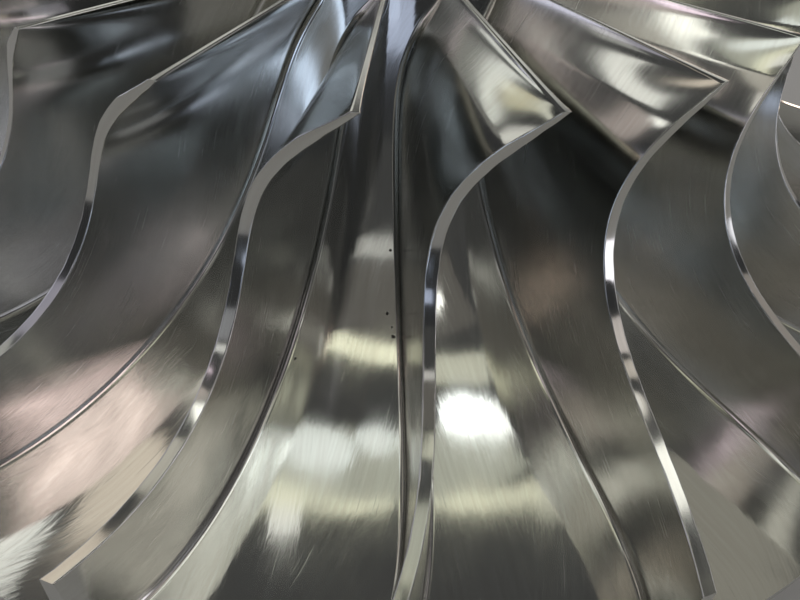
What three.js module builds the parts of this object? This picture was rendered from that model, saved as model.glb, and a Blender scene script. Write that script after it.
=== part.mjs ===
import * as THREE from 'three';

// Semi-open radial impeller, millimetres, +Z towards the inlet.
// The origin is on the axis, in the plane of the flat back face.
// Angles run counter-clockwise seen from the inlet, starting on the -Y side.

const bladeCount = 19;
const rimRadius = 250;
const floorHeight = 36;
const bladeHeight = 119.3;
const exitWidth = 32.7;
const eyeTipRadius = 160.7;
const eyeHubRadius = 65.3;
const noseLength = 7;
const noseChamfer = 2;
const boreRadius = 30;
const boreChamfer = 1.5;
const backFlatRadius = 120;
const discEdge = 7;
const edgeBevel = 1;

// Blade thickness at the open edge and at the root, which gains its thickness over a
// run from the inlet. The left side is bevelled along the inlet edge.
const edgeThickness = 3.8;
const rootThickness = 7.2;
const rootRun = 40;
const bevelDepth = 1.9;
const bevelRun = 14;
const filletRadius = 2.2;
const seatGap = 0.36;

// Flow path in the radius-height plane, height counted from the floor at the rim.
const shroudPath = [
  [eyeTipRadius, bladeHeight],
  [159, 106.8],
  [148.3, 35.1],
  [rimRadius, exitWidth],
];
const hubPath = [
  [eyeHubRadius, bladeHeight],
  [102, 0.9],
  [196.8, -5.4],
  [rimRadius, 0],
];

// Wrap of the blade round the axis, degrees: a hook that leads at the inlet and dies away
// with depth below it, the same at every radius, then a bow and a sweep back at the rim.
const inletLead = 15.4;
const hookDepth = 17.9;
const hookShape = 1.55;
const shroudWrap = { middle: 8.06, bow: -13.64, sweep: 7.24, sweepShape: 6.12 };
const hubWrap = { middle: 3.79, bow: 3.0, sweep: 3.26, sweepShape: 6.37 };

// Facets: sides of the turned hub, stations from inlet to rim that crowd towards
// the inlet, steps up a fillet, and height shares up the blade's side.
const discSides = bladeCount * 4;
const flowSteps = 18;
const flowSpacing = 1.6;
const filletSteps = [0, 0.34, 0.67, 1];
const sideShares = [0.5, 1];
const smallestShare = 0.35;

const steelColour = 0xb9b4ab;
const bladeColour = 0xc4bfb5;

const degree = Math.PI / 180;

function station(i) {
  return (i / flowSteps) ** flowSpacing;
}

function pathPoint(path, t) {
  const u = 1 - t;
  const weights = [u * u * u, 3 * u * u * t, 3 * u * t * t, t * t * t];
  const radius = weights.reduce((sum, w, i) => sum + w * path[i][0], 0);
  const height = weights.reduce((sum, w, i) => sum + w * path[i][1], 0);
  return [radius, floorHeight + height];
}

function wrapAngle(law, t) {
  return law.middle + law.bow * t * (1 - t) - law.sweep * t ** law.sweepShape;
}

function blend(a, b, share) {
  return a + (b - a) * share;
}

function toSpace(radius, angle, height) {
  return new THREE.Vector3(radius * Math.sin(angle), -radius * Math.cos(angle), height);
}

// A point of the blade's middle surface: t runs inlet to rim, v runs root to open edge.
function middlePoint(t, v) {
  const [hubR, hubZ] = pathPoint(hubPath, t);
  const [edgeR, edgeZ] = pathPoint(shroudPath, t);
  const height = blend(hubZ, edgeZ, v);
  const depth = Math.max(floorHeight + bladeHeight - height, 0);
  const hook = Math.exp(-((depth / hookDepth) ** hookShape));
  const plain = blend(wrapAngle(hubWrap, t), wrapAngle(shroudWrap, t), v);
  const lead = inletLead - blend(hubWrap.middle, shroudWrap.middle, v);
  return { radius: blend(hubR, edgeR, v), height, angle: (plain + lead * hook) * degree };
}

// Share of a normal to the middle surface that lies round the axis.
function normalShare(t, v) {
  const step = 0.002;
  const at = (a, b) => {
    const p = middlePoint(a, b);
    return toSpace(p.radius, p.angle, p.height);
  };
  const low = Math.max(t - step, 0);
  const high = Math.min(t + step, 1);
  const along = at(high, v).sub(at(low, v));
  const up = at(t, Math.min(v + step, 1)).sub(at(t, Math.max(v - step, 0)));
  const normal = along.cross(up).normalize();
  const angle = middlePoint(t, v).angle;
  const round = new THREE.Vector3(Math.cos(angle), Math.sin(angle), 0);
  return Math.max(Math.abs(normal.dot(round)), smallestShare);
}

// Straight distance of a point of the middle surface from the inlet edge.
function inletDistance(t, v) {
  const p = middlePoint(t, v);
  const q = middlePoint(0, v);
  return toSpace(p.radius, p.angle, p.height).distanceTo(toSpace(q.radius, q.angle, q.height));
}

// Distance of a side from the middle surface: side is -1 on the left, 1 on the right.
function sideDepth(t, v, side) {
  const distance = inletDistance(t, v);
  const gain = (rootThickness - edgeThickness) * (1 - v);
  const depth = (edgeThickness + gain * THREE.MathUtils.smoothstep(distance, 0, rootRun)) / 2;
  return side > 0 ? depth : depth - bevelDepth * Math.max(1 - distance / bevelRun, 0);
}

// That distance measured round the axis, as an angle.
function sideAngle(t, v, side) {
  return sideDepth(t, v, side) / (middlePoint(t, v).radius * normalShare(t, v));
}

// One cross-section from the toe of a root fillet, up one side, over the
// open edge and down the other side, closed by a point under the middle.
function bladeSection(t) {
  const foot = pathPoint(hubPath, t);
  const top = pathPoint(shroudPath, t);
  const span = Math.hypot(top[0] - foot[0], top[1] - foot[1]);
  const seat = seatGap / span;
  const shelf = filletRadius / span;
  const toe = filletRadius / (foot[0] * normalShare(t, 0));
  const place = (v, width) => {
    const p = middlePoint(t, v);
    return toSpace(p.radius, p.angle + width, p.height);
  };
  const flank = (side) => {
    const toeWidth = sideAngle(t, seat, side) + toe;
    const wallWidth = sideAngle(t, shelf, side);
    const fillet = filletSteps.map((a) => {
      const width = blend(wallWidth, toeWidth, (1 - a) ** 2);
      return place(blend(seat, shelf, a * a), side * width);
    });
    return [...fillet, ...sideShares.map((v) => place(v, side * sideAngle(t, v, side)))];
  };
  return [...flank(-1), ...flank(1).reverse(), place(seat, 0)];
}

// Skin over a run of closed sections, with flat ends.
function skin(sections) {
  const ring = sections[0].length;
  const points = sections.flat();
  const faces = [];
  for (let i = 0; i + 1 < sections.length; i += 1) {
    for (let j = 0; j < ring; j += 1) {
      const a = i * ring + j;
      const b = i * ring + (j + 1) % ring;
      faces.push(a, a + ring, b, b, a + ring, b + ring);
    }
  }
  // Each end is a strip between the two sides of the section.
  const last = (sections.length - 1) * ring;
  const half = (ring - 1) / 2;
  for (let j = 0; j + 1 < half; j += 1) {
    const k = ring - 2 - j;
    faces.push(j, j + 1, k, j + 1, k - 1, k);
    faces.push(last + j, last + k, last + j + 1, last + j + 1, last + k, last + k - 1);
  }
  faces.push(0, ring - 2, ring - 1);
  faces.push(last, last + ring - 1, last + ring - 2);
  return solid(points, faces);
}

function solid(points, faces) {
  const geometry = new THREE.BufferGeometry();
  const numbers = points.flatMap((p) => p.toArray());
  geometry.setAttribute('position', new THREE.Float32BufferAttribute(numbers, 3));
  geometry.setIndex(faces);
  geometry.computeVertexNormals();
  return geometry;
}

function bladeGeometry() {
  const sections = [];
  for (let i = 0; i <= flowSteps; i += 1) {
    sections.push(bladeSection(station(i)));
  }
  return skin(sections);
}

// The hub, back disc and bore are one turned body. Its nose runs on in line
// with the start of the hub path, and its back is a flat and a cone.
function hubGeometry() {
  const noseTop = floorHeight + bladeHeight + noseLength;
  const edgeBottom = floorHeight - discEdge;
  const noseSlope = (hubPath[1][0] - hubPath[0][0]) / (hubPath[0][1] - hubPath[1][1]);
  const noseRadius = eyeHubRadius - noseSlope * noseLength;
  const profile = [
    [boreRadius + boreChamfer, 0],
    [backFlatRadius, 0],
    [rimRadius - edgeBevel, edgeBottom],
    [rimRadius, edgeBottom + edgeBevel],
  ];
  for (let i = flowSteps; i >= 0; i -= 1) {
    profile.push(pathPoint(hubPath, station(i)));
  }
  profile.push([noseRadius + noseSlope * noseChamfer, noseTop - noseChamfer]);
  profile.push([noseRadius - noseChamfer, noseTop]);
  profile.push([boreRadius + boreChamfer, noseTop]);
  profile.push([boreRadius, noseTop - boreChamfer]);
  profile.push([boreRadius, boreChamfer]);
  const ring = profile.length;
  const points = [];
  for (let s = 0; s < discSides; s += 1) {
    const angle = s / discSides * 2 * Math.PI;
    points.push(...profile.map(([radius, height]) => toSpace(radius, angle, height)));
  }
  const faces = [];
  for (let s = 0; s < discSides; s += 1) {
    const here = s * ring;
    const next = (s + 1) % discSides * ring;
    for (let j = 0; j < ring; j += 1) {
      const k = (j + 1) % ring;
      faces.push(here + j, next + j, here + k);
      faces.push(next + j, next + k, here + k);
    }
  }
  return solid(points, faces);
}

const part = new THREE.Group();
part.name = 'impeller';

const hubSteel = new THREE.MeshStandardMaterial({ color: steelColour, roughness: 0.3, metalness: 1 });
const bladeSteel = new THREE.MeshStandardMaterial({ color: bladeColour, roughness: 0.25, metalness: 1 });

const hub = new THREE.Mesh(hubGeometry(), hubSteel);
hub.name = 'hub_disc';
part.add(hub);

for (let i = 0; i < bladeCount; i += 1) {
  const blade = new THREE.Mesh(bladeGeometry(), bladeSteel);
  blade.name = `blade_${String(i + 1).padStart(2, '0')}`;
  blade.geometry.rotateZ(i / bladeCount * 2 * Math.PI);
  part.add(blade);
}

export default part;
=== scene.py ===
import math

import bpy
import numpy as np
from mathutils import Matrix, Vector


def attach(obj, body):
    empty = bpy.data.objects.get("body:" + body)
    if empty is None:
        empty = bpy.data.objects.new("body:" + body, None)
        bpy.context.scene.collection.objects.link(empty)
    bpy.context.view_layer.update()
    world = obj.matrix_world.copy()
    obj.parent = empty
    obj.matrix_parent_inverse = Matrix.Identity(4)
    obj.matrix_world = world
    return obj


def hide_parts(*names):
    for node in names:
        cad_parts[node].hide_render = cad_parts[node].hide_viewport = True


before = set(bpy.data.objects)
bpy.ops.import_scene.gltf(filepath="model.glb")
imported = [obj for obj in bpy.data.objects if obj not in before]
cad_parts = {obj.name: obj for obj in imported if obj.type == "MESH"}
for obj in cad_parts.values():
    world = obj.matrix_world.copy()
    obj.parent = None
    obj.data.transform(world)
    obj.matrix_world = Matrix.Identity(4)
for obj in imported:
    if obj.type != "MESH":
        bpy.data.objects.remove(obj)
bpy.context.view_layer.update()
print("frame loaded")

# Driving sizes of the wheel, in metres and degrees, the same as the part's.
wheel = {
    "blades": 19,
    "rimRadius": 0.25,
    "floorHeight": 0.036,
    "bladeHeight": 0.1193,
    "exitWidth": 0.0327,
    "eyeTipRadius": 0.1607,
    "eyeHubRadius": 0.0653,
    "inletLead": 15.4,
    "hookDepth": 0.0179,  # below the inlet, over which the blade's hook dies away
    "hookShape": 1.55,
    "edgeThickness": 0.0038,
    "rootThickness": 0.0072,
    "rootRun": 0.04,  # from the inlet edge to the full thickness of the root
    "bevelDepth": 0.0019,  # of the left side along the inlet
    "bevelRun": 0.014,
    "filletRadius": 0.0022,
    "smallestShare": 0.35,  # of a normal round the axis, so that thin slopes don't stretch the blade
}
edgeStart = 0.9999  # height share from which a point lies on the outer edge

# Flow path at the open edge and at the floor: radius and height over the floor at the rim.
shroudPath = np.array([
    [wheel["eyeTipRadius"], wheel["bladeHeight"]],
    [0.159, 0.1068],
    [0.1483, 0.0351],
    [wheel["rimRadius"], wheel["exitWidth"]],
])
hubPath = np.array([
    [wheel["eyeHubRadius"], wheel["bladeHeight"]],
    [0.102, 0.0009],
    [0.1968, -0.0054],
    [wheel["rimRadius"], 0.0],
])

# Wrap of the blade round the axis, in degrees.
shroudWrap = {"middle": 8.06, "bow": -13.64, "sweep": 7.24, "sweepShape": 6.12}
hubWrap = {"middle": 3.79, "bow": 3.0, "sweep": 3.26, "sweepShape": 6.37}


def pathPoint(path, t):
    # Cubic Bezier curve in the radius-height plane, lifted to the height of the floor at the rim.
    t = np.asarray(t, float)[..., None]
    u = 1 - t
    q = u**3 * path[0] + 3 * u * u * t * path[1] + 3 * u * t * t * path[2] + t**3 * path[3]
    return q[..., 0], q[..., 1] + wheel["floorHeight"]


def wrapAngle(law, t):
    # Degrees without the hook: a middle angle, a bow, and a sweep that grows with a power of t.
    return law["middle"] + law["bow"] * t * (1 - t) - law["sweep"] * t ** law["sweepShape"]


def toSpace(radius, angle, height):
    # Cylinder coordinates to space, with angle zero on the -Y side.
    return np.stack([radius * np.sin(angle), -radius * np.cos(angle), height + 0 * angle], -1)


def middleSurface(t, v):
    # Straight lines in radius, height and angle, from the hub path (v = 0) to the shroud path (v = 1),
    # and a hook towards the inlet that is the same at every radius and dies away with the depth.
    hubR, hubZ = pathPoint(hubPath, t)
    topR, topZ = pathPoint(shroudPath, t)
    height = hubZ + (topZ - hubZ) * v
    depth = np.maximum(wheel["floorHeight"] + wheel["bladeHeight"] - height, 0)
    hook = np.exp(-(depth / wheel["hookDepth"]) ** wheel["hookShape"])
    middle = hubWrap["middle"] * (1 - v) + shroudWrap["middle"] * v
    plain = wrapAngle(hubWrap, t) * (1 - v) + wrapAngle(shroudWrap, t) * v
    angle = plain + (wheel["inletLead"] - middle) * hook
    return hubR + (topR - hubR) * v, np.radians(angle), height


def inletDistance(t, v):
    # Straight distance of a point of the middle surface from the inlet edge at the same height share.
    return np.linalg.norm(toSpace(*middleSurface(t, v)) - toSpace(*middleSurface(0 * t, v)), axis=-1)


def roundShare(t, v):
    # Share of the middle surface's normal that lies round the axis, from central differences.
    step = 0.0015  # in shares
    low, high = np.maximum(t - step, 0), np.minimum(t + step, 1)
    along = toSpace(*middleSurface(high, v)) - toSpace(*middleSurface(low, v))
    across = toSpace(*middleSurface(t, v + step)) - toSpace(*middleSurface(t, v - step))
    n = np.cross(along, across)
    n /= np.linalg.norm(n, axis=-1, keepdims=True)
    angle = middleSurface(t, v)[1]
    share = np.abs(n[..., 0] * np.cos(angle) + n[..., 1] * np.sin(angle))
    return np.maximum(share, wheel["smallestShare"])


bladeUser = {
    "rows": 166,  # stations from the inlet edge to the rim
    "crowding": 1.7,  # how far they crowd towards the inlet
    "floorColumns": 11,
    "filletColumns": 7,
    "wallColumns": 38,
    "breakColumns": 4,
    "landColumns": 3,
    "noseRadius": 0.0005,  # corners of the blunt inlet edge
    "edgeBreak": 0.0004,  # hand-broken corner of the machined outer edge
    "breakWaves": (0.007, 0.013, 0.031),  # wavelengths of its unevenness along the blade
    "breakUneven": 0.16,
    "inletFillet": 0.25,  # share of the root fillet left at the inlet edge
    "filletGrow": 0.012,  # run from the inlet to the full fillet
    "skinDepth": 0.0006,
    "floorWaves": (0.009, 0.02, 0.045),  # wavelengths of the hand-polished waviness
    "floorWaveHeight": 0.00003,
    "wallWaves": (0.02, 0.04, 0.07),
    "wallWaveHeight": 0.00002,
    "landWaves": (0.009, 0.02),
    "landWaveHeight": 0.000006,
    "waveRuns": {"floor": 0.006, "wall": 0.005, "land": 0.008, "rim": 0.006},  # over which they fade in
    "rootShare": 0.12,  # of the height, where the floor's waves give way to the wall's
    "edgeShare": 0.03,  # of the height, where the wall's waves die away below the outer edge
    "uvStep": 0.5,  # shifts the finish from blade to blade
    "seed": 4,
}


def smoothStep(x):
    # Cubic step from 0 to 1.
    x = np.clip(x, 0, 1)
    return x * x * (3 - 2 * x)


def sideDepth(t, v, sign, u):
    # Distance of a side from the middle surface. The root gains its thickness by a smooth step from
    # the inlet on. The left side has a straight bevel along the inlet edge, whose two corners
    # are quarter circles.
    s = inletDistance(t, v)
    gain = (wheel["rootThickness"] - wheel["edgeThickness"]) * (1 - v) * smoothStep(s / wheel["rootRun"])
    depth = (wheel["edgeThickness"] + gain) / 2
    if sign < 0:
        depth = depth - wheel["bevelDepth"] * np.clip(1 - s / wheel["bevelRun"], 0, 1)
    corner = 1 - np.sqrt(1 - (1 - np.clip(s / u["noseRadius"], 0, 1)) ** 2)
    return depth - u["noseRadius"] * corner


def polishWaves(place, rng, lengths, height):
    # Sum of sine waves through space, three of each length with random headings, whose heights
    # grow with their lengths. Returns the height and its gradient.
    total = np.zeros(place.shape[:-1])
    slope = np.zeros(place.shape)
    scale = height / (sum(lengths) * 1.2)
    for wave in lengths:
        for _ in range(3):
            heading = rng.normal(size=3)
            heading *= 2 * math.pi / wave / np.linalg.norm(heading)
            phase = place @ heading + rng.uniform(0, 2 * math.pi)
            total += np.sin(phase) * wave * scale
            slope += np.cos(phase)[..., None] * heading * wave * scale
    return total, slope


def gridNormals(p):
    # Second-order tangents on an uneven grid, crossed; the ends take one-sided tangents.
    def tangent(q):
        d = np.diff(q, axis=0)
        h = np.maximum(np.linalg.norm(d, axis=-1, keepdims=True), 1e-12)
        g = d / h
        middle = (g[:-1] * h[1:] + g[1:] * h[:-1]) / (h[1:] + h[:-1])
        return np.concatenate([g[:1], middle, g[-1:]])
    along = tangent(p)
    across = np.swapaxes(tangent(np.swapaxes(p, 0, 1)), 0, 1)
    n = np.cross(along, across)
    return n / np.maximum(np.linalg.norm(n, axis=-1, keepdims=True), 1e-12)


def floorNormal(t, angle):
    # Normal of the turned floor: the hub path's direction, turned a quarter and swung round the axis.
    e = 1e-4
    lowR, lowZ = pathPoint(hubPath, np.maximum(t - e, 0))
    highR, highZ = pathPoint(hubPath, np.minimum(t + e, 1))
    run = np.hypot(highR - lowR, highZ - lowZ)
    return toSpace(-(highZ - lowZ) / run + 0 * angle, angle, (highR - lowR) / run)


def bladeSide(sign, t, rng, u):
    # One half of a blade pitch, in columns from the seam with the next blade to the middle of the
    # outer edge: turned floor, quarter-round fillet, side, rounded break and flat outer edge.
    hubR, hubZ = pathPoint(hubPath, t)
    topR, topZ = pathPoint(shroudPath, t)
    span = np.hypot(topR - hubR, topZ - hubZ)
    grown = smoothStep(inletDistance(t, 0 * t) / u["filletGrow"])
    fillet = wheel["filletRadius"] * (u["inletFillet"] + (1 - u["inletFillet"]) * grown)

    def halfWidth(v, side=sign):
        return sideDepth(t, v, side, u) / (middleSurface(t, v)[0] * roundShare(t, v))

    turn = np.linspace(0, math.pi / 2, u["filletColumns"])[None]
    filletV = fillet / span * (1 - np.cos(turn))
    filletW = halfWidth(filletV) + fillet / (hubR * roundShare(t, 0 * t)) * (1 - np.sin(turn))
    share = np.linspace(0, 1, u["floorColumns"])[None, :-1]
    floorW = math.pi / wheel["blades"] * (1 - share) + filletW[:, :1] * share
    # The broken corner is uneven along the blade, as a file leaves it.
    walk = inletDistance(t, 1 + 0 * t)
    uneven = sum(np.sin(walk * 2 * math.pi / wave + rng.uniform(0, 6)) for wave in u["breakWaves"])
    corner = u["edgeBreak"] * (1 + u["breakUneven"] * uneven)
    cornerV = corner / span
    share = np.linspace(0, 1, u["wallColumns"] + 1)[None, 1:]
    wallV = filletV[:, -1:] + (1 - cornerV - filletV[:, -1:]) * share
    turn = np.linspace(0, math.pi / 2, u["breakColumns"] + 1)[None, 1:]
    topHalf = halfWidth(1 + 0 * t)
    leftHalf, rightHalf = halfWidth(1 + 0 * t, -1), halfWidth(1 + 0 * t, 1)
    cornerW = corner / (topR * roundShare(t, 1 + 0 * t))
    breakV = 1 - cornerV * (1 - np.sin(turn))
    breakW = topHalf - cornerW * (1 - np.cos(turn))
    share = np.linspace(0, 1, u["landColumns"])[None, 1:]
    landMiddle = sign * (rightHalf - leftHalf) / 2
    landW = landMiddle + (topHalf - cornerW - landMiddle) * (1 - share)
    v = np.concatenate([0 * floorW, filletV, wallV, breakV, 1 + 0 * landW], 1)
    w = np.concatenate([floorW, filletW, halfWidth(wallV), breakW, landW], 1) * sign
    radius, angle, height = middleSurface(t, v)
    place = toSpace(radius, angle + w, height)
    toe = floorW.shape[1]
    wall = toe + filletW.shape[1] - 1
    edge = wall + wallV.shape[1]
    land = edge + breakW.shape[1]
    normal = -sign * gridNormals(place)
    normal[:, wall:edge + 1] = -sign * gridNormals(place[:, wall:edge + 1])
    normal[:, land:] = -sign * gridNormals(place[:, land:])
    normal[:, :toe + 1] = floorNormal(t, (angle + w)[:, :toe + 1])
    return place, normal, v, toe


def runLength(place, axis):
    # Distance walked along one direction of the grid, counted from its first row or column.
    steps = np.linalg.norm(np.diff(place, axis=axis), axis=-1)
    return np.pad(np.cumsum(steps, axis), [(1, 0), (0, 0)] if axis == 0 else [(0, 0), (1, 0)])


def bladeSector(number, u):
    # A closed skin over one blade pitch: both halves, the underside and the two flat ends.
    # It is made in place for this blade, so the waves of the floor run on across the seams.
    rng = np.random.default_rng(u["seed"] + number)
    t = (np.linspace(0, 1, u["rows"]) ** u["crowding"])[:, None]
    left, leftNormal, leftV, toe = bladeSide(-1, t, rng, u)
    right, rightNormal, rightV, toe = bladeSide(1, t, rng, u)
    place = np.concatenate([left, right[:, -2::-1]], 1)
    normal = np.concatenate([leftNormal, rightNormal[:, -2::-1]], 1)
    v = np.concatenate([leftV, rightV[:, -2::-1]], 1)
    turned = 2 * math.pi * number / wheel["blades"]
    c, s = math.cos(turned), math.sin(turned)
    spin = np.array([[c, s, 0], [-s, c, 0], [0, 0, 1]])
    place, normal = place @ spin, normal @ spin
    # Waves: one set on all floors, one on each blade, and small ones along the outer edge.
    shared = np.random.default_rng(u["seed"])
    runs = u["waveRuns"]
    fromInlet = inletDistance(t, v)
    fromRim = wheel["rimRadius"] - np.linalg.norm(place[..., :2], axis=-1)
    inside = smoothStep(fromRim / runs["rim"])
    above = smoothStep(v / u["rootShare"])
    onWall = above * smoothStep((1 - v) / u["edgeShare"]) * smoothStep(fromInlet / runs["wall"]) * inside
    onLand = smoothStep(fromInlet / runs["land"]) * (v > edgeStart) * inside
    onFloor = (1 - above) * smoothStep(inletDistance(t, 0 * t) / runs["floor"]) * inside
    lift = np.zeros(v.shape)
    tilt = np.zeros(place.shape)
    for source, lengths, waveHeight, weight in (
        (shared, u["floorWaves"], u["floorWaveHeight"], onFloor),
        (rng, u["wallWaves"], u["wallWaveHeight"], onWall),
        (rng, u["landWaves"], u["landWaveHeight"], onLand),
    ):
        h, g = polishWaves(place, source, lengths, waveHeight)
        lift += h * weight
        tilt += g * weight[..., None]
    tilt -= normal * np.sum(tilt * normal, -1, keepdims=True)
    place = place + normal * lift[..., None]
    normal = normal - tilt
    normal /= np.linalg.norm(normal, axis=-1, keepdims=True)
    # Lengths across and along the flow, for the finish.
    flow = runLength(place, 0)
    cross = runLength(place, 1)
    cross += u["uvStep"] * number - cross[:, [cross.shape[1] // 2]]
    shareT = t + 0 * v
    # The underside follows the floor columns at the depth of the skin, and stays inside the rim.
    top = v.shape[1]
    below = np.concatenate([np.arange(1, toe + 1), np.arange(top - toe - 1, top - 1)])[::-1]
    under = place[:, below] - normal[:, below] * u["skinDepth"]
    reach = np.linalg.norm(under[..., :2], axis=-1, keepdims=True)
    under[..., :2] *= np.minimum(wheel["rimRadius"] / reach, 1)
    place = np.concatenate([place, under], 1)
    normal = np.concatenate([normal, -normal[:, below]], 1)
    flow, cross, v, shareT = [np.concatenate([a, a[:, below]], 1) for a in (flow, cross, v, shareT)]
    rows, ring = v.shape
    index = np.arange(rows * ring).reshape(rows, ring)
    following = np.roll(index, -1, 1)
    quads = np.stack([index[:-1], index[1:], following[1:], following[:-1]], -1).reshape(-1, 4)
    # Each flat end is a strip of quads: between floor and underside, then between the blade's sides.
    half = top // 2
    j = np.arange(1, toe)
    strips = [
        np.stack([j, ring - j, ring - j - 1, j + 1], -1),
        np.stack([top - 2 - j, top + j, top - 1 + j, top - 1 - j], -1),
        [[toe, ring - toe, top - 1 + toe, top - 1 - toe]],
    ]
    j = np.arange(toe, half - 1)
    strips.append(np.stack([j, top - 1 - j, top - 2 - j, j + 1], -1))
    strip = np.concatenate(strips)
    tips = np.array([[0, ring - 1, 1], [top - 2, top, top - 1], [half - 1, half + 1, half]])
    last = (rows - 1) * ring
    caps = [strip[:, ::-1], tips[:, ::-1], strip + last, tips + last]
    return {
        "verts": place.reshape(-1, 3),
        "normals": normal.reshape(-1, 3),
        "faces": quads,
        "caps": [face.tolist() for cap in caps for face in cap],
        "uv": {"UVMap": (cross, flow), "ShareMap": (shareT, v)},
    }


def makeMesh(name, made):
    # Smooth grid faces take the worked-out normals; the flat ends keep their own.
    faces = made["faces"].tolist() + made["caps"]
    mesh = bpy.data.meshes.new(name)
    mesh.from_pydata(made["verts"].tolist(), [], faces)
    mesh.polygons.foreach_set("use_smooth", np.ones(len(faces), bool))
    loops = np.zeros(len(mesh.loops), np.int32)
    mesh.loops.foreach_get("vertex_index", loops)
    if "normals" in made:
        loopNormals = made["normals"][loops]
        flat = np.zeros(len(faces) * 3)
        mesh.polygons.foreach_get("normal", flat)
        sizes = np.array([len(f) for f in made["caps"]])
        capNormals = flat.reshape(-1, 3)[len(made["faces"]):]
        loopNormals[len(loops) - sizes.sum():] = np.repeat(capNormals, sizes, 0)
        mesh.normals_split_custom_set(loopNormals.tolist())
    else:
        mesh.set_sharp_from_angle(angle=math.radians(32))  # chamfers stay crisp, curved runs smooth
    for title, (across, along) in made["uv"].items():
        pair = np.stack([across.ravel(), along.ravel()], -1)[loops]
        mesh.uv_layers.new(name=title).data.foreach_set("uv", pair.astype(np.float32).ravel())
    mesh.update()
    piece = bpy.data.objects.new(name, mesh)
    bpy.context.scene.collection.objects.link(piece)
    return piece


discUser = {
    "sides": 304,
    "discEdge": 0.007,
    "backFlatRadius": 0.12,
    "boreRadius": 0.03,
    "boreChamfer": 0.0015,
    "noseLength": 0.007,
    "noseChamfer": 0.002,
    "edgeRound": 0.001,
    "arcSteps": 4,
    "seat": 0.0003,  # below the skins of the blades
    "flowSteps": 40,
}


def roundedProfile(corners, steps):
    # Straight runs between corners, each corner (radius, height, round) cut by a quadratic arc.
    out = []
    for i, corner in enumerate(corners):
        here = np.array(corner[:2])
        if corner[2] == 0:
            out.append(here[None])
            continue
        before = np.array(corners[i - 1][:2]) - here
        after = np.array(corners[(i + 1) % len(corners)][:2]) - here
        start = here + before / np.linalg.norm(before) * corner[2]
        end = here + after / np.linalg.norm(after) * corner[2]
        a = np.linspace(0, 1, steps + 1)[:, None]
        out.append((1 - a) ** 2 * start + 2 * (1 - a) * a * here + a * a * end)
    return np.concatenate(out)


def turnedDisc(u):
    # One closed profile of radius and height, turned round the axis.
    noseTop = wheel["floorHeight"] + wheel["bladeHeight"] + u["noseLength"]
    low = wheel["floorHeight"] - u["discEdge"]
    rim = wheel["rimRadius"]
    slope = (hubPath[1, 0] - hubPath[0, 0]) / (hubPath[0, 1] - hubPath[1, 1])
    pathR, pathZ = pathPoint(hubPath, np.linspace(1, 0, u["flowSteps"]))
    # Under the skins the floor lies a little lower; a small step leads up to the nose.
    flow = np.stack([pathR - u["seat"] * (pathR < rim - u["edgeRound"]), pathZ - u["seat"]], -1)
    back = [
        (u["boreRadius"], 0, u["boreChamfer"]),
        (u["backFlatRadius"], 0, u["edgeRound"]),
        (rim, low, u["edgeRound"]),
    ]
    nose = [
        (wheel["eyeHubRadius"], noseTop - u["noseLength"], 0),
        (wheel["eyeHubRadius"] - slope * u["noseLength"], noseTop, u["noseChamfer"]),
        (u["boreRadius"], noseTop, u["boreChamfer"]),
    ]
    # The corner before or after each run only gives its end a direction, and is cut off.
    steps = u["arcSteps"]
    under = roundedProfile([*nose[2:], *back, (rim, pathZ[0], 0)], steps)[steps + 1:-1]
    above = roundedProfile([*nose, back[0]], steps)[:-steps - 1]
    profile = np.concatenate([under, flow, above])
    return turnedBody(profile, u["sides"])


def turnedBody(profile, sides):
    # A closed profile turned round the axis; UV runs along the profile and round, in metres.
    a = np.arange(sides) / sides * 2 * math.pi
    place = toSpace(profile[None, :, 0], a[:, None], profile[None, :, 1])
    ring = place.shape[1]
    index = np.arange(sides * ring).reshape(sides, ring)
    right = np.roll(index, -1, 0)
    faces = np.stack([index, right, np.roll(right, -1, 1), np.roll(index, -1, 1)], -1).reshape(-1, 4)
    step = np.linalg.norm(np.diff(profile, axis=0, append=profile[:1]), axis=1)
    run = np.concatenate([[0], np.cumsum(step)[:-1]])
    pair = (run[None] + 0 * a[:, None], a[:, None] * profile[None, :, 0])
    return {"verts": place.reshape(-1, 3), "faces": faces, "caps": [], "uv": {"UVMap": pair}}


# Materials. On the blades UVMap runs across and along the flow in metres, and ShareMap holds
# the share from inlet to rim and the share from root to outer edge. On the disc UVMap runs
# across and along the turning marks.

steelUser = {
    "colour": (0.655, 0.65, 0.61),
    "paler": (0.69, 0.695, 0.655),
    "anisotropy": 0.7,
}

# Pits beside the roots of two blades: place and radius in metres.
pits = [
    (0.0020, -0.1123, 0.0754, 0.0006),
    (0.0019, -0.1307, 0.0607, 0.0007),
    (0.0037, -0.1350, 0.0578, 0.0006),
    (0.0044, -0.1380, 0.0561, 0.0009),
    (-0.0302, -0.1455, 0.0506, 0.0007),
]
pitUser = {
    "grain": (0.0011, 0.0011, 0.0011),
    "edge": 0.0018,  # how far the edges of the pits wander
    "colour": (0.09, 0.08, 0.07),
    "rough": 0.5,
}


def node(tree, kind, **given):
    # Makes a node; a given value goes to the node's own setting or to the socket of that name.
    made = tree.nodes.new(kind)
    for key, value in given.items():
        if hasattr(made, key):
            setattr(made, key, value)
        else:
            feed(tree, made.inputs[key], value)
    return made


def feed(tree, socket, value):
    # Links an output to the socket, or sets the socket's own value.
    if isinstance(value, bpy.types.NodeSocket):
        tree.links.new(value, socket)
    else:
        socket.default_value = value


def combine(tree, operation, a, b):
    # Two numbers joined by a Math operation.
    made = tree.nodes.new("ShaderNodeMath")
    made.operation = operation
    feed(tree, made.inputs[0], a)
    feed(tree, made.inputs[1], b)
    return made.outputs[0]


def plus(tree, a, b):
    return combine(tree, "ADD", a, b)


def times(tree, a, b):
    return combine(tree, "MULTIPLY", a, b)


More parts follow.
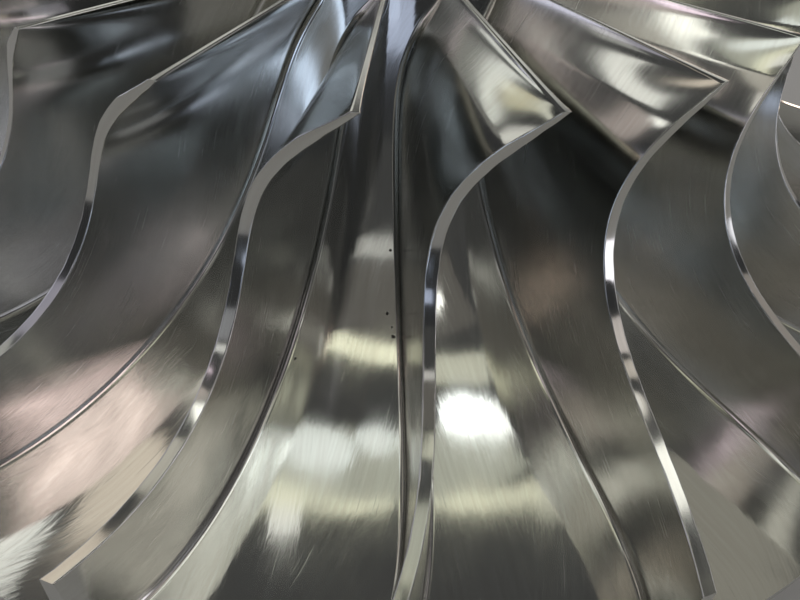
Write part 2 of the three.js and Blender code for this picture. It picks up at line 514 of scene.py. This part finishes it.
def remap(tree, value, low, high, toLow=0.0, toHigh=1.0, smooth=False):
    # Straight or smooth change from toLow to toHigh while the value goes from low to high.
    made = tree.nodes.new("ShaderNodeMapRange")
    made.interpolation_type = "SMOOTHSTEP" if smooth else "LINEAR"
    titles = "Value", "From Min", "From Max", "To Min", "To Max"
    for title, given in zip(titles, (value, low, high, toLow, toHigh)):
        feed(tree, made.inputs[title], given)
    return made.outputs[0]


def between(tree, share, a, b):
    # Number between a and b by a share.
    made = tree.nodes.new("ShaderNodeMix")
    feed(tree, made.inputs[0], share)
    feed(tree, made.inputs[2], a)
    feed(tree, made.inputs[3], b)
    return made.outputs[0]


def blendColour(tree, share, a, b):
    # Colour between a and b by a share.
    made = tree.nodes.new("ShaderNodeMix")
    made.data_type = "RGBA"
    feed(tree, made.inputs[0], share)
    for socket, value in ((made.inputs[6], a), (made.inputs[7], b)):
        feed(tree, socket, (*value, 1) if isinstance(value, tuple) else value)
    return made.outputs[2]


def uvOf(tree, name):
    made = tree.nodes.new("ShaderNodeUVMap")
    made.uv_map = name
    return made.outputs[0]


def grain(tree, source, size, detail=2.0, turn=0.0):
    # Noise from 0 to 1 whose features have the given sizes in metres along each axis of the source.
    mapping = node(tree, "ShaderNodeMapping", Vector=source)
    mapping.inputs["Rotation"].default_value = (0, 0, turn)
    mapping.inputs["Scale"].default_value = [1 / each for each in size]
    made = node(tree, "ShaderNodeTexNoise", Vector=mapping.outputs[0], Detail=detail, Scale=1.0)
    return made.outputs[0]


def bumpOf(tree, height, distance):
    # Normal tilted by a height field; the distance is the depth of a height of 1, in metres.
    return node(tree, "ShaderNodeBump", Strength=1.0, Distance=distance, Height=height).outputs[0]


def pitShare(tree, place, u):
    # 1 inside the ragged pits, 0 away from them.
    wander = times(tree, combine(tree, "SUBTRACT", grain(tree, place, u["grain"]), 0.5), u["edge"])
    total = 0.0
    for x, y, z, radius in pits:
        apart = tree.nodes.new("ShaderNodeVectorMath")
        apart.operation = "DISTANCE"
        feed(tree, apart.inputs[0], place)
        apart.inputs[1].default_value = (x, y, z)
        away = plus(tree, apart.outputs["Value"], wander)
        total = combine(tree, "MAXIMUM", total, remap(tree, away, radius, radius * 0.5, smooth=True))
    return total


def newSteel(name):
    # Bare metal whose highlights stretch across the grain that UVMap follows.
    mat = bpy.data.materials.new(name)
    mat.use_nodes = True
    tree = mat.node_tree
    shader = tree.nodes["Principled BSDF"]
    shader.inputs["Metallic"].default_value = 1
    shader.inputs["Anisotropic"].default_value = steelUser["anisotropy"]
    tangent = node(tree, "ShaderNodeTangent", direction_type="UV_MAP", uv_map="UVMap")
    tree.links.new(tangent.outputs[0], shader.inputs["Tangent"])
    return mat, tree, shader


brushedUser = {
    "floorRough": 0.085,
    "wallRough": 0.2,
    "inletRough": 0.1,  # the hand-polished faces near the inlet
    "landRough": 0.085,  # the outer edge
    "fineGrain": (0.00035, 0.012, 1),  # sizes across and along the flow
    "lineGrain": (0.0013, 0.04, 1),
    "dappleGrain": (0.0025, 0.008, 1),
    "landGrain": (0.02, 0.0004, 1),
    "patchGrain": (0.022, 0.022, 0.022),
    "scratchWidth": 0.0004,
    "scratches": ((0.2, 0.05, 0.5, 0.6), (-0.75, 0.03, 0.5, 0.4)),  # turn, length, their patches
    "scratchRough": 0.12,
    "lineDepth": 2.5,  # depths compared with the fine grain's
    "dappleDepth": 7,
    "scratchDepth": 1.2,
    "landDepth": 0.3,
    "inletDepth": 0.15,
    "bump": 0.000002,
    # Painted shade: a darker colour laid in patches along the root crease of every blade.
    "rootShade": (0.3, 0.27, 0.24),
    "rootShadeShare": 0.45,
}


def brushedSteel(u):
    # Blades and floors: hand-polished along the flow, smoother near the inlet, with a finely
    # turned outer edge, dapple, scratches, a few pits and patches of painted shade along the roots.
    mat, tree, shader = newSteel("brushedSteel")
    shader.inputs["Anisotropic Rotation"].default_value = 0.25
    uv = uvOf(tree, "UVMap")
    shares = node(tree, "ShaderNodeSeparateXYZ", Vector=uvOf(tree, "ShareMap"))
    along, up = shares.outputs[0], shares.outputs[1]
    place = node(tree, "ShaderNodeTexCoord").outputs["Object"]
    onEdge = combine(tree, "GREATER_THAN", up, edgeStart)
    onWall = remap(tree, up, 0.0, 0.06, smooth=True)
    firstThird = remap(tree, along, 0.42, 0.16, smooth=True)
    nearInlet = times(tree, firstThird, remap(tree, up, 0.3, 0.65, smooth=True))
    fine = grain(tree, uv, u["fineGrain"])
    lines = grain(tree, uv, u["lineGrain"])
    patches = grain(tree, place, u["patchGrain"])
    dapple = grain(tree, uv, u["dappleGrain"])
    turning = grain(tree, uv, u["landGrain"])
    scratch = 0.0
    for turn, length, low, high in u["scratches"]:
        field = grain(tree, uv, (u["scratchWidth"], length, 1), detail=1, turn=turn)
        found = times(tree, remap(tree, field, 0.68, 0.76), remap(tree, patches, low, high))
        scratch = combine(tree, "MAXIMUM", scratch, found)
    pit = times(tree, pitShare(tree, place, pitUser), remap(tree, up, 0.012, 0.004))

    rough = between(tree, onWall, u["floorRough"], u["wallRough"])
    rough = between(tree, nearInlet, rough, u["inletRough"])
    rough = times(tree, rough, remap(tree, patches, 0.3, 0.7, 0.8, 1.25))
    rough = times(tree, rough, remap(tree, fine, 0.3, 0.7, 0.88, 1.12))
    rough = between(tree, onEdge, rough, u["landRough"])
    rough = plus(tree, rough, times(tree, scratch, u["scratchRough"]))
    rough = plus(tree, rough, times(tree, pit, pitUser["rough"]))
    tree.links.new(rough, shader.inputs["Roughness"])

    tint = blendColour(tree, remap(tree, lines, 0.35, 0.65), steelUser["colour"], steelUser["paler"])
    # Painted shade in the root crease: patches of darker colour just above the toe, up to a share of the
    # height.
    aboveToe = remap(tree, up, 0.0, 0.008, smooth=True)
    nearRoot = times(tree, aboveToe, remap(tree, up, 0.05, 0.012, smooth=True))
    rootShading = times(tree, nearRoot, remap(tree, patches, 0.45, 0.7, 0.0, u["rootShadeShare"]))
    tint = blendColour(tree, rootShading, tint, u["rootShade"])
    tint = blendColour(tree, pit, tint, pitUser["colour"])
    tree.links.new(tint, shader.inputs["Base Color"])

    brushing = plus(tree, fine, times(tree, lines, u["lineDepth"]))
    brushing = plus(tree, brushing, times(tree, dapple, u["dappleDepth"]))
    brushing = combine(tree, "SUBTRACT", brushing, times(tree, scratch, u["scratchDepth"]))
    height = between(tree, onEdge, brushing, times(tree, turning, u["landDepth"]))
    height = between(tree, nearInlet, height, times(tree, height, u["inletDepth"]))
    tree.links.new(bumpOf(tree, height, u["bump"]), shader.inputs["Normal"])
    return mat


turnedUser = {
    "rough": 0.2,
    "markGrain": (0.00045, 0.3, 1),  # sizes across and along the turning marks
    "passGrain": (0.004, 0.6, 1),
    "patchGrain": (0.03, 0.03, 0.03),
    "passDepth": 1.5,  # compared with the marks'
    "bump": 0.000004,
}


def turnedSteel(u):
    # Disc, nose, back and bore: turning marks round the axis over a satin ground.
    mat, tree, shader = newSteel("turnedSteel")
    uv = uvOf(tree, "UVMap")
    place = node(tree, "ShaderNodeTexCoord").outputs["Object"]
    marks = grain(tree, uv, u["markGrain"], detail=3)
    passes = grain(tree, uv, u["passGrain"], detail=1)
    patches = grain(tree, place, u["patchGrain"], detail=3)
    rough = times(tree, u["rough"], remap(tree, patches, 0.3, 0.7, 0.8, 1.3))
    rough = times(tree, rough, remap(tree, marks, 0.3, 0.7, 0.8, 1.2))
    tree.links.new(rough, shader.inputs["Roughness"])
    tint = blendColour(tree, remap(tree, passes, 0.35, 0.65), steelUser["colour"], steelUser["paler"])
    tree.links.new(tint, shader.inputs["Base Color"])
    height = plus(tree, marks, times(tree, passes, u["passDepth"]))
    tree.links.new(bumpOf(tree, height, u["bump"]), shader.inputs["Normal"])
    return mat


steelBrushed = brushedSteel(brushedUser)
steelTurned = turnedSteel(turnedUser)

for number in range(wheel["blades"]):
    bladeName = f"blade_{number + 1:02d}"
    piece = makeMesh(f"milled_{bladeName}", bladeSector(number, bladeUser))
    piece.data.materials.append(steelBrushed)
    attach(piece, "root")
    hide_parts(bladeName)
print("blades made")

disc = makeMesh("turned_hub_disc", turnedDisc(discUser))
disc.data.materials.append(steelTurned)
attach(disc, "root")
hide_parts("hub_disc")
print("disc made")

cameraUser = {
    "place": (0.0, -0.3137, 0.2350),
    "tilt": -0.7406,  # below the horizon
    "heading": 0.0336,  # to the right of +Y
    "roll": 0.0671,
    "focalPixels": 693,
    "imageWidth": 800,
    "sensorWidth": 36,
}


def axesMatrix(x, y, z, place):
    # A turned and moved frame from its three axes and its origin.
    return Matrix((
        (x[0], y[0], z[0], place[0]),
        (x[1], y[1], z[1], place[1]),
        (x[2], y[2], z[2], place[2]),
        (0, 0, 0, 1),
    ))


def makeCamera(u):
    # Forward, right and up from heading and tilt, then turned by the roll.
    h, p, q = u["heading"], u["tilt"], u["roll"]
    forward = Vector((math.sin(h) * math.cos(p), math.cos(h) * math.cos(p), math.sin(p)))
    right = Vector((math.cos(h), -math.sin(h), 0))
    up = right.cross(forward)
    sideways = right * math.cos(q) + up * math.sin(q)
    upwards = up * math.cos(q) - right * math.sin(q)
    lens = bpy.data.cameras.new("camera")
    lens.sensor_width = u["sensorWidth"]
    lens.lens = u["sensorWidth"] * u["focalPixels"] / u["imageWidth"]
    lens.clip_start = 0.01
    lens.clip_end = 50
    camera = bpy.data.objects.new("camera", lens)
    bpy.context.scene.collection.objects.link(camera)
    camera.matrix_world = axesMatrix(sideways, upwards, -forward, u["place"])
    bpy.context.scene.camera = camera


makeCamera(cameraUser)
print("camera set")

floorUser = {
    "halfSize": 3.0,
    "colour": (0.8, 0.79, 0.77, 1),
    "rough": 0.8,
}


def makeFloor(u):
    s = u["halfSize"]
    mesh = bpy.data.meshes.new("floor")
    mesh.from_pydata([(-s, -s, 0), (s, -s, 0), (s, s, 0), (-s, s, 0)], [], [(0, 1, 2, 3)])
    floor = bpy.data.objects.new("floor", mesh)
    bpy.context.scene.collection.objects.link(floor)
    mat = bpy.data.materials.new("paleFloor")
    mat.use_nodes = True
    shader = mat.node_tree.nodes["Principled BSDF"]
    shader.inputs["Base Color"].default_value = u["colour"]
    shader.inputs["Roughness"].default_value = u["rough"]
    floor.data.materials.append(mat)


makeFloor(floorUser)
print("floor made")

studioUser = {
    "height": 8.0,  # of the ceiling above the middle of the picture
    "distance": 9.0,  # of the windows from it
    "middle": (0.0, -0.1, 0.09),
    "ambient": (0.034, 0.035, 0.037),
    "gain": 1.16,  # of all the strips and windows
}

# Ceiling strips: middle and size in ceiling heights, to the right and away from the camera,
# and turn in degrees.
strips = {
    "lamp": dict(at=(0.24, 0.03), size=(0.17, 0.11), turn=20, bright=2.9, tint=(0.95, 1, 1)),
    "lampSide": dict(at=(0.32, 0.08), size=(0.13, 0.1), turn=20, bright=1.7, tint=(0.97, 1, 0.98)),
    "lampRight": dict(at=(0.5, 0.1), size=(0.3, 0.16), bright=1.0, tint=(1, 0.99, 0.93)),
    "lumpLeft": dict(at=(-0.14, 0.12), size=(0.19, 0.13), bright=1.0, tint=(0.95, 1, 0.97)),
    "lumpRight": dict(at=(0.0, 0.07), size=(0.11, 0.09), bright=1.0, tint=(0.95, 1, 0.97)),
    "glow": dict(at=(0.05, 0.14), size=(0.6, 0.18), bright=0.42, tint=(0.98, 1, 0.84)),
    "frontLeft": dict(at=(-0.12, 0.245), size=(0.32, 0.06), turn=-8, bright=0.95, tint=(1, 0.99, 0.76)),
    "frontMiddle": dict(at=(0.18, 0.25), size=(0.3, 0.06), turn=20, bright=0.9, tint=(1, 0.99, 0.76)),
    "frontPatch": dict(at=(0.36, 0.32), size=(0.14, 0.1), turn=10, bright=0.65, tint=(1, 0.99, 0.8)),
    "frontRight": dict(at=(0.64, 0.22), size=(0.3, 0.18), bright=1.3, tint=(1, 0.99, 0.93)),
    "backLeft": dict(at=(-0.08, -0.235), size=(0.34, 0.08), turn=4, bright=1.1, tint=(1, 0.99, 0.76)),
    "backMiddle": dict(at=(0.25, -0.13), size=(0.28, 0.12), turn=20, bright=0.6, tint=(1, 1, 0.82)),
    "backRight": dict(at=(0.7, -0.1), size=(0.26, 0.24), bright=0.9, tint=(1.05, 1, 0.93)),
    "backFar": dict(at=(0.5, -0.45), size=(0.26, 0.16), turn=-30, bright=2.4, tint=(1.22, 1, 0.98)),
    "spotBack": dict(at=(0.29, -0.42), size=(0.09, 0.07), bright=2.4, tint=(1, 1, 0.95)),
    "spotRight": dict(at=(0.97, -0.24), size=(0.18, 0.1), turn=-40, bright=0.55, tint=(1.1, 1, 0.9)),
    "spotFar": dict(at=(0.87, -0.71), size=(0.32, 0.24), turn=-40, bright=2.1, tint=(1.28, 1, 1.02)),
    "spotWarm": dict(at=(0.85, -0.72), size=(0.2, 0.14), turn=-40, bright=2.4, tint=(1.3, 1, 0.9)),
    "behindLeft": dict(at=(-0.08, -0.72), size=(0.3, 0.12), bright=0.5, tint=(1, 1, 0.95)),
    "behindRight": dict(at=(0.19, -0.67), size=(0.12, 0.1), bright=0.6, tint=(1, 0.98, 0.95)),
    "behindPale": dict(at=(0.0, -0.45), size=(0.9, 0.36), bright=0.09, tint=(1.08, 1, 0.88)),
    "spotLeft": dict(at=(-0.7, -0.63), size=(0.1, 0.1), turn=50, bright=0.8, tint=(1, 1, 0.97)),
    "leftFloor": dict(at=(-0.47, 0.42), size=(0.14, 0.25), bright=0.62, tint=(1.14, 1, 0.84)),
    "leftNear": dict(at=(-0.37, 0.32), size=(0.12, 0.14), bright=0.25, tint=(1.05, 1, 0.9)),
    "leftRow": dict(at=(-0.47, 0.1), size=(0.26, 0.2), bright=0.46, tint=(1.05, 1, 0.88)),
    "leftFar": dict(at=(-0.8, 0.03), size=(0.4, 0.14), turn=20, bright=0.85, tint=(1.02, 1, 0.93)),
    "pinkRow": dict(at=(-0.72, -0.27), size=(0.4, 0.18), turn=30, bright=0.42, tint=(1.14, 1, 0.92)),
    "frontPale": dict(at=(0.55, 0.56), size=(0.26, 0.3), bright=0.22, tint=(1.05, 1, 0.85)),
    "streakLow": dict(at=(-0.95, -0.62), size=(0.8, 0.09), turn=38, bright=1.1, tint=(1.22, 1, 1.16)),
    "streakMiddle": dict(at=(-0.4, -0.05), size=(0.34, 0.06), turn=52, bright=1.7, tint=(1, 1, 0.93)),
    "streakHigh": dict(at=(-0.18, 0.27), size=(0.14, 0.06), turn=60, bright=1.0, tint=(1, 1, 0.95)),
    "outerRowLow": dict(at=(-1.45, 0.31), size=(0.9, 0.12), turn=5, bright=0.35, tint=(1, 1, 0.95)),
    "outerRow": dict(at=(-0.63, 0.54), size=(0.36, 0.09), turn=42, bright=0.95, tint=(1, 1, 0.95)),
    "outerPale": dict(at=(-1.3, 0.63), size=(0.8, 0.14), turn=-5, bright=0.35, tint=(1.16, 1, 0.94)),
    "outerSpot": dict(at=(-0.88, 0.68), size=(0.1, 0.12), bright=1.7, tint=(1, 1, 0.95)),
    "farPale": dict(at=(-1.5, 2.5), size=(1.2, 0.5), bright=0.15, tint=(1, 0.98, 0.9)),
    "pale": dict(at=(0.0, 0.0), size=(3.0, 3.0), bright=0.025, tint=(1, 0.98, 0.93)),
}

# Windows, in degrees: aim to the right of +Y and above the horizon, width and height, and roll.
windows = {
    "blueBehind": dict(aim=(180, 3), size=(20, 16), bright=1.5, tint=(0.83, 1, 1.36)),
    "blueLeft": dict(aim=(-151, 9), size=(15, 15), bright=0.5, tint=(0.88, 1, 1.3)),
    "behindHigh": dict(aim=(180, 20), size=(24, 7), bright=0.5, tint=(0.88, 1, 1.35)),
    "behindLow": dict(aim=(-165, 15), size=(34, 12), bright=0.2, tint=(0.84, 1, 1.32)),
    "leftBehind": dict(aim=(-140, 37), size=(40, 13), bright=0.2, tint=(0.97, 0.98, 1.06)),
    "left": dict(aim=(-70, 12), size=(44, 30), bright=0.8, tint=(1, 1, 1.25)),
    "farRow": dict(aim=(-44.5, 13), size=(3.4, 15), roll=-16, bright=0.85, tint=(0.98, 1, 0.95)),
    "farTurn": dict(aim=(-38, 22), size=(9, 2.6), roll=-28, bright=0.85, tint=(0.98, 1, 0.95)),
    "farSpot": dict(aim=(-31.5, 23), size=(4.5, 3.4), bright=0.75, tint=(0.98, 1, 0.93)),
    "farYellow": dict(aim=(-34, 25.6), size=(7, 1.8), roll=-10, bright=0.6, tint=(1, 0.93, 0.62)),
    "farCream": dict(aim=(-31, 28), size=(16, 1.8), roll=-8, bright=0.7, tint=(1, 1, 0.86)),
    "leftHigh": dict(aim=(-100, 33), size=(40, 14), bright=0.27, tint=(1.05, 1, 1.22)),
    "ahead": dict(aim=(2, 22), size=(54, 9), bright=0.55, tint=(1, 0.99, 0.93)),
    "warmLow": dict(aim=(32, 0), size=(20, 20), bright=2.3, tint=(1.25, 1, 0.82)),
    "lowRight": dict(aim=(72, 2), size=(22, 20), bright=1.1, tint=(1, 1, 1.1)),
    "rightHigh": dict(aim=(75, 26), size=(40, 20), bright=0.22, tint=(1.12, 1, 0.93)),
    "rightWarm": dict(aim=(110, 34), size=(16, 14), bright=0.5, tint=(1.1, 1, 0.97)),
    "pinkRight": dict(aim=(112, 5), size=(30, 22), bright=1.5, tint=(1.04, 1, 1.1)),
}


# Strips that reach only the second blade left of the middle.
leftOnly = ("backFar", "spotFar")
leftBlade = bpy.data.collections.new("leftBlade")
leftBlade.objects.link(bpy.data.objects["milled_blade_18"])


def addLight(name, p, width, depth, side, away, where):
    # A flat light whose width runs along side and that shines along -away: an ellipse, or a
    # rectangle where it is long. Power = gain x brightness x pi x area.
    compact = max(width, depth) < 2 * min(width, depth)
    area = width * depth * (math.pi / 4 if compact else 1)
    lamp = bpy.data.lights.new(name, "AREA")
    lamp.shape = "ELLIPSE" if compact else "RECTANGLE"
    lamp.size = width
    lamp.size_y = depth
    lamp.energy = studioUser["gain"] * p["bright"] * math.pi * area
    lamp.color = p["tint"]
    item = bpy.data.objects.new(name, lamp)
    bpy.context.scene.collection.objects.link(item)
    item.matrix_world = axesMatrix(side, away.cross(side), away, where)
    if name in leftOnly:
        item.light_linking.receiver_collection = leftBlade


def addStrip(name, p):
    # A strip on the ceiling, turned about the vertical.
    turn = math.radians(p.get("turn", 0))
    side = Vector((math.cos(turn), math.sin(turn), 0))
    h = studioUser["height"]
    where = Vector(studioUser["middle"]) + Vector((p["at"][0] * h, p["at"][1] * h, h))
    width, depth = p["size"]
    addLight(name, p, width * h, depth * h, side, Vector((0, 0, 1)), where)


def addWindow(name, p):
    # An upright or leaning light at a fixed distance, facing the middle, that may be rolled.
    heading, rise = math.radians(p["aim"][0]), math.radians(p["aim"][1])
    flat = math.cos(rise)
    away = Vector((math.sin(heading) * flat, math.cos(heading) * flat, math.sin(rise)))
    level = Vector((-math.cos(heading), math.sin(heading), 0))
    roll = math.radians(p.get("roll", 0))
    side = level * math.cos(roll) + away.cross(level) * math.sin(roll)
    distance = studioUser["distance"]
    width, depth = [2 * distance * math.tan(math.radians(each / 2)) for each in p["size"]]
    addLight(name, p, width, depth, side, away, Vector(studioUser["middle"]) + away * distance)


for name, p in strips.items():
    addStrip(name, p)
for name, p in windows.items():
    addWindow(name, p)

world = bpy.data.worlds.new("studio")
world.use_nodes = True
world.node_tree.nodes["Background"].inputs["Color"].default_value = (*studioUser["ambient"], 1)
bpy.context.scene.world = world
bpy.context.scene.view_settings.view_transform = "Standard"
print("lights set")
